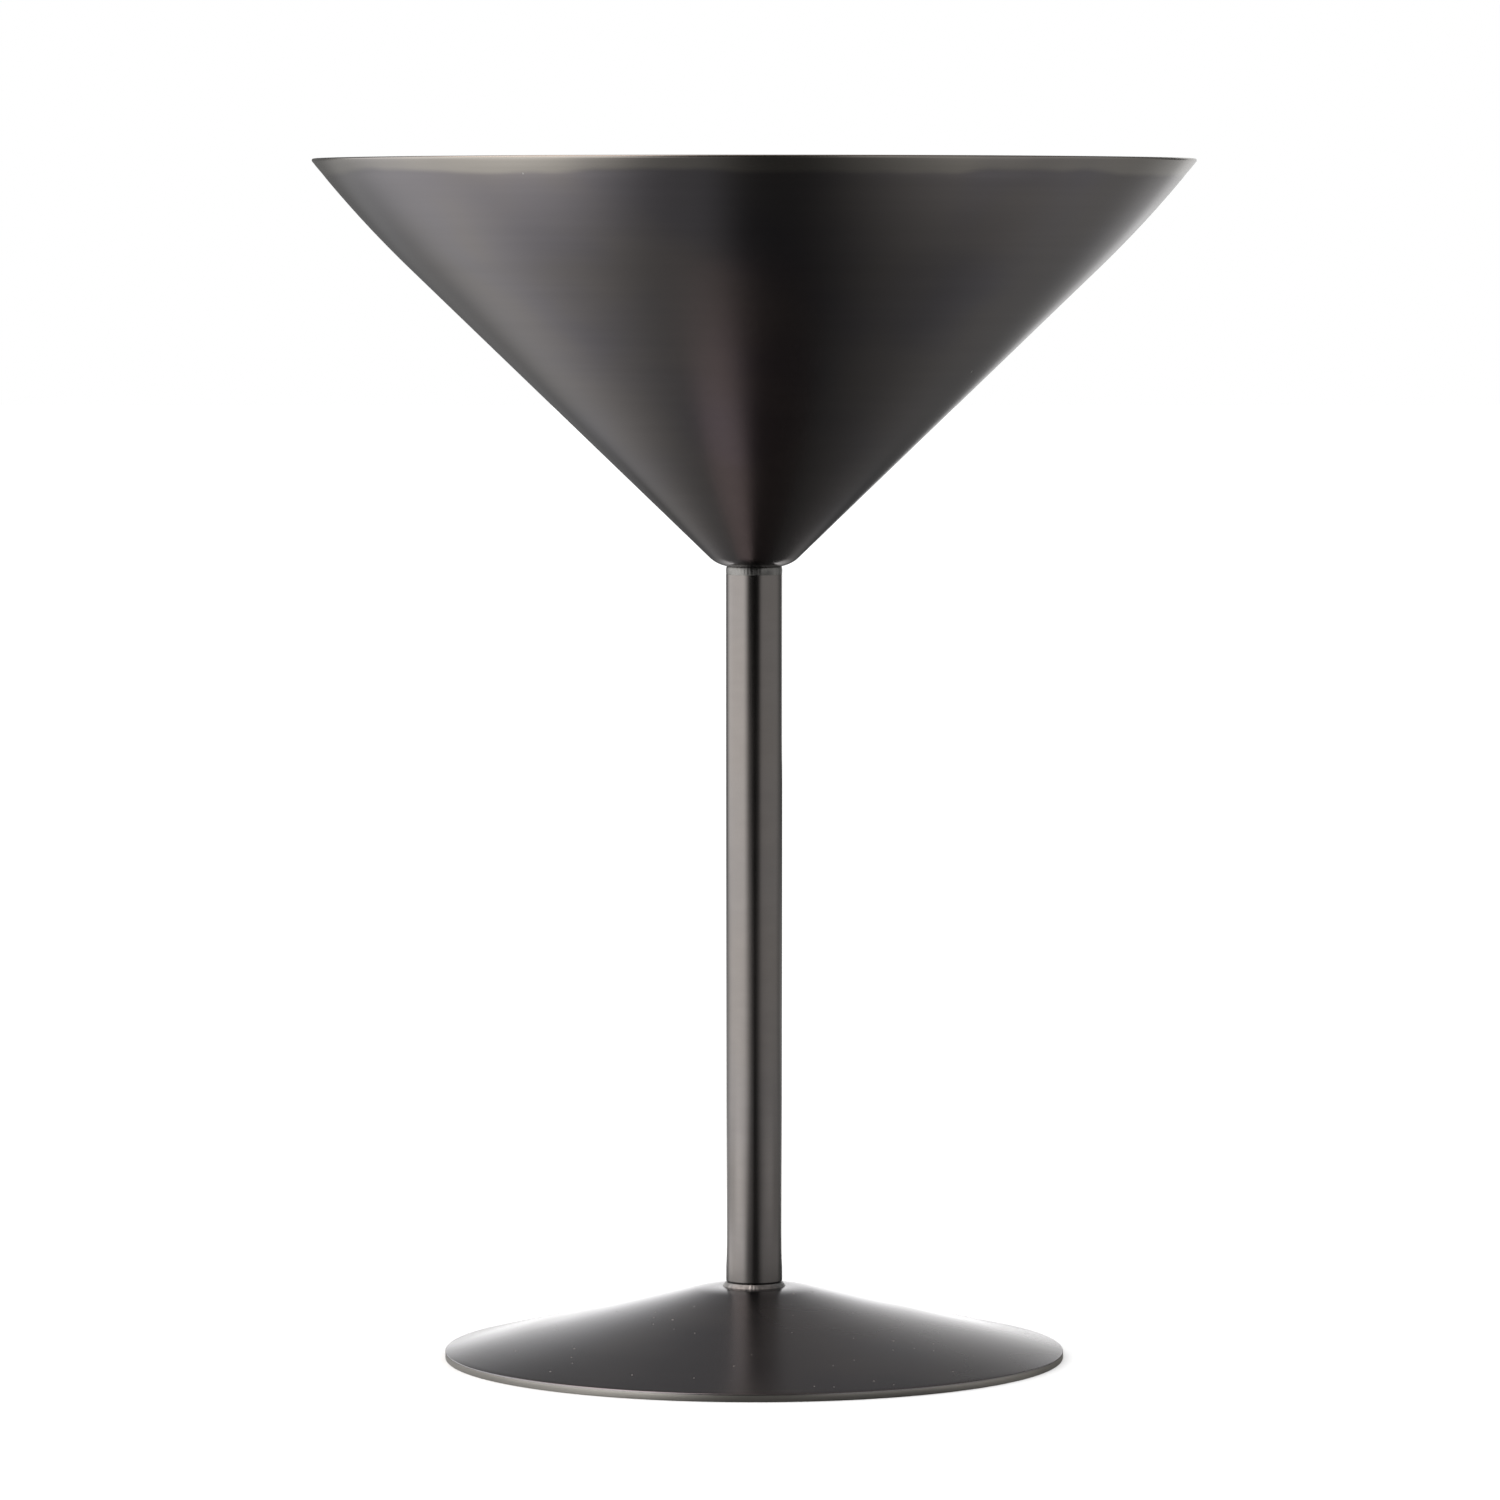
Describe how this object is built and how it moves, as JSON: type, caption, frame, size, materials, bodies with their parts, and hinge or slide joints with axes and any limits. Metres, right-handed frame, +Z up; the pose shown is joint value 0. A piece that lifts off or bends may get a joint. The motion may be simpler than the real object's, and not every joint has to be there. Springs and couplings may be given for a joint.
{
  "type": "martini glass",
  "caption": "Stemmed cocktail glass in dark satin steel: a wide conical bowl on a slim tube stem, welded to a shallow conical foot.",
  "frame": {"origin": "on the table under the stem's axis, at the centre of the foot's resting ring", "axes": "+Z up along the stem's axis; the glass is a figure of revolution, so X and Y are any two level directions at right angles"},
  "size_m": [0.125, 0.125, 0.1706],
  "materials": {
    "bowl_steel": "satin gunmetal coating with faint spinning lines",
    "stem_steel": "satin gunmetal coating, smooth drawn tube",
    "foot_steel": "satin gunmetal coating with faint spinning lines",
    "weld_metal": "coated weld bead with fine ripples",
    "bare_steel": "turned bare steel"
  },
  "bodies": {
    "root": {"bowl": "bowl_steel", "bowl_spigot": "bare_steel", "bowl_weld": "weld_metal", "stem_tube": "stem_steel", "foot_spigot": "bare_steel", "foot_weld": "weld_metal", "foot": "foot_steel"}
  },
  "joints": []
}
